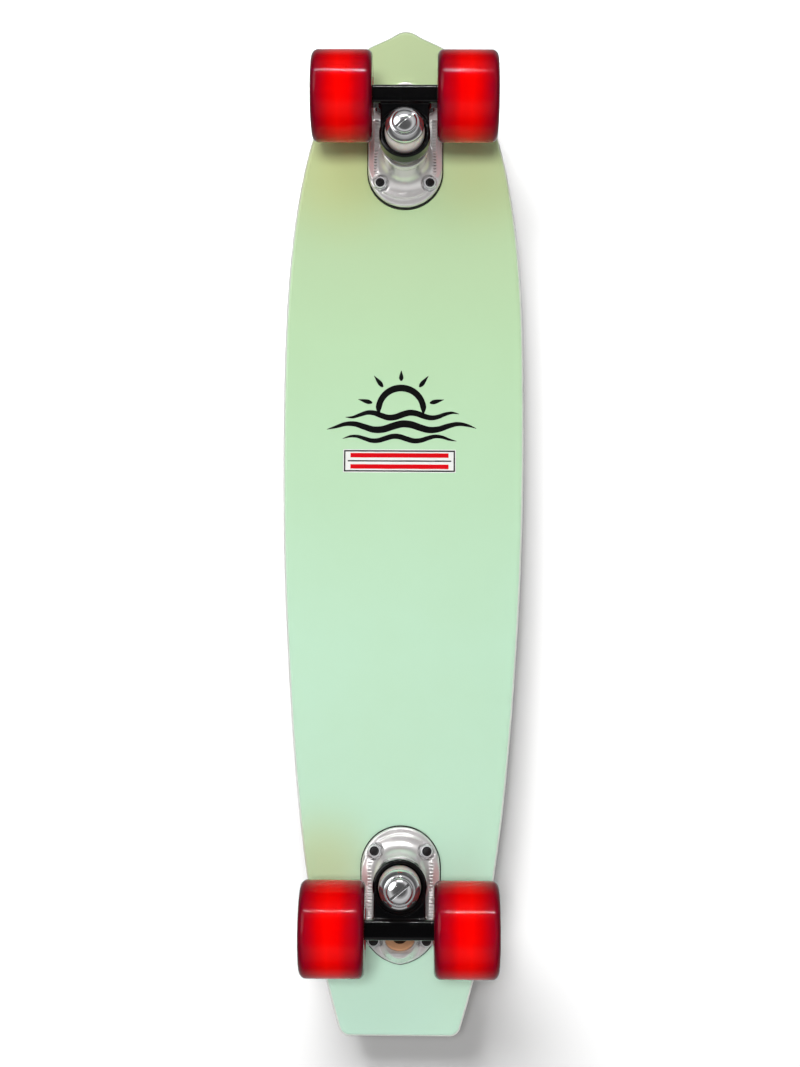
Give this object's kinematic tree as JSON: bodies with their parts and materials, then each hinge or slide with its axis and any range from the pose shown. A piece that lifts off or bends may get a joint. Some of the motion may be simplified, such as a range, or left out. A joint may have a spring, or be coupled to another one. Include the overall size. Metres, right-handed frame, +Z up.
{
  "type": "skateboard",
  "caption": "Retro skateboard with a rounded-point nose, square tail, pale green underside, cast trucks that steer on cushions, and translucent red wheels on ball bearings.",
  "frame": {"origin": "on the floor under the middle of the board's length and width", "axes": "+Z up, the nose points to -Y, +X is the rider's left when facing the nose"},
  "size_m": [0.182, 0.762, 0.1024],
  "materials": {
    "deck": "maple ply, gloss pale green paint on the underside",
    "grip": "coarse black abrasive sheet",
    "black_bolts": "black oxide",
    "zinc_steel": "bright zinc plated",
    "nylon": "moulded",
    "riser": "matt",
    "cast_aluminium": "polished casting",
    "pivot_rubber": "moulded",
    "chrome": "bright plated",
    "cushion": "smooth cast urethane",
    "black_enamel": "gloss",
    "urethane": "translucent cast urethane",
    "bearing_shield": "pressed",
    "bearing_steel": "ground"
  },
  "bodies": {
    "board": {"deck": "deck", "deck_bolts": "black_bolts", "deck_nut_inserts": "nylon", "deck_nuts": "zinc_steel", "front_baseplate": "cast_aluminium", "front_cup_washer": "chrome", "front_kingpin": "chrome", "front_kingpin_nut": "zinc_steel", "front_lower_cushion": "cushion", "front_lower_washer": "zinc_steel", "front_pivot_cup": "pivot_rubber", "front_riser_pad": "riser", "front_upper_cushion": "cushion", "grip_sheet": "grip", "rear_baseplate": "cast_aluminium", "rear_cup_washer": "chrome", "rear_kingpin": "chrome", "rear_kingpin_nut": "zinc_steel", "rear_lower_cushion": "cushion", "rear_lower_washer": "zinc_steel", "rear_pivot_cup": "pivot_rubber", "rear_riser_pad": "riser", "rear_upper_cushion": "cushion"},
    "front_hanger": {"front_axle": "zinc_steel", "front_hanger": "black_enamel", "front_left_axle_nut": "zinc_steel", "front_left_axle_washers": "zinc_steel", "front_left_bearing_inner_rings": "bearing_steel", "front_left_bearing_spacer": "bearing_steel", "front_right_axle_nut": "zinc_steel", "front_right_axle_washers": "zinc_steel", "front_right_bearing_inner_rings": "bearing_steel", "front_right_bearing_spacer": "bearing_steel"},
    "rear_hanger": {"rear_axle": "zinc_steel", "rear_hanger": "black_enamel", "rear_left_axle_nut": "zinc_steel", "rear_left_axle_washers": "zinc_steel", "rear_left_bearing_inner_rings": "bearing_steel", "rear_left_bearing_spacer": "bearing_steel", "rear_right_axle_nut": "zinc_steel", "rear_right_axle_washers": "zinc_steel", "rear_right_bearing_inner_rings": "bearing_steel", "rear_right_bearing_spacer": "bearing_steel"},
    "front_left_wheel": {"front_left_bearing_balls": "bearing_steel", "front_left_bearing_outer_rings": "bearing_steel", "front_left_bearing_shields": "bearing_shield", "front_left_wheel": "urethane"},
    "front_right_wheel": {"front_right_bearing_balls": "bearing_steel", "front_right_bearing_outer_rings": "bearing_steel", "front_right_bearing_shields": "bearing_shield", "front_right_wheel": "urethane"},
    "rear_left_wheel": {"rear_left_bearing_balls": "bearing_steel", "rear_left_bearing_outer_rings": "bearing_steel", "rear_left_bearing_shields": "bearing_shield", "rear_left_wheel": "urethane"},
    "rear_right_wheel": {"rear_right_bearing_balls": "bearing_steel", "rear_right_bearing_outer_rings": "bearing_steel", "rear_right_bearing_shields": "bearing_shield", "rear_right_wheel": "urethane"}
  },
  "joints": [
    {"name": "front_steer", "type": "hinge", "parent": "board", "child": "front_hanger", "pos_m": [0, -0.3157, 0.0725], "axis": [0, -0.777, 0.6295], "range_deg": [-12, 12], "stiffness_Nm_per_rad": 45, "deforming": ["front_lower_cushion", "front_upper_cushion"]},
    {"name": "rear_steer", "type": "hinge", "parent": "board", "child": "rear_hanger", "pos_m": [0, 0.311, 0.0725], "axis": [0, 0.777, 0.6295], "range_deg": [-12, 12], "stiffness_Nm_per_rad": 45, "deforming": ["rear_lower_cushion", "rear_upper_cushion"]},
    {"name": "front_left_wheel_spin", "type": "hinge", "parent": "front_hanger", "child": "front_left_wheel", "pos_m": [0.0463, -0.3036, 0.0335], "axis": [1, 0, 0], "continuous": true},
    {"name": "front_right_wheel_spin", "type": "hinge", "parent": "front_hanger", "child": "front_right_wheel", "pos_m": [-0.0463, -0.3036, 0.0335], "axis": [1, 0, 0], "continuous": true},
    {"name": "rear_left_wheel_spin", "type": "hinge", "parent": "rear_hanger", "child": "rear_left_wheel", "pos_m": [0.0463, 0.2989, 0.0335], "axis": [1, 0, 0], "continuous": true},
    {"name": "rear_right_wheel_spin", "type": "hinge", "parent": "rear_hanger", "child": "rear_right_wheel", "pos_m": [-0.0463, 0.2989, 0.0335], "axis": [1, 0, 0], "continuous": true}
  ]
}
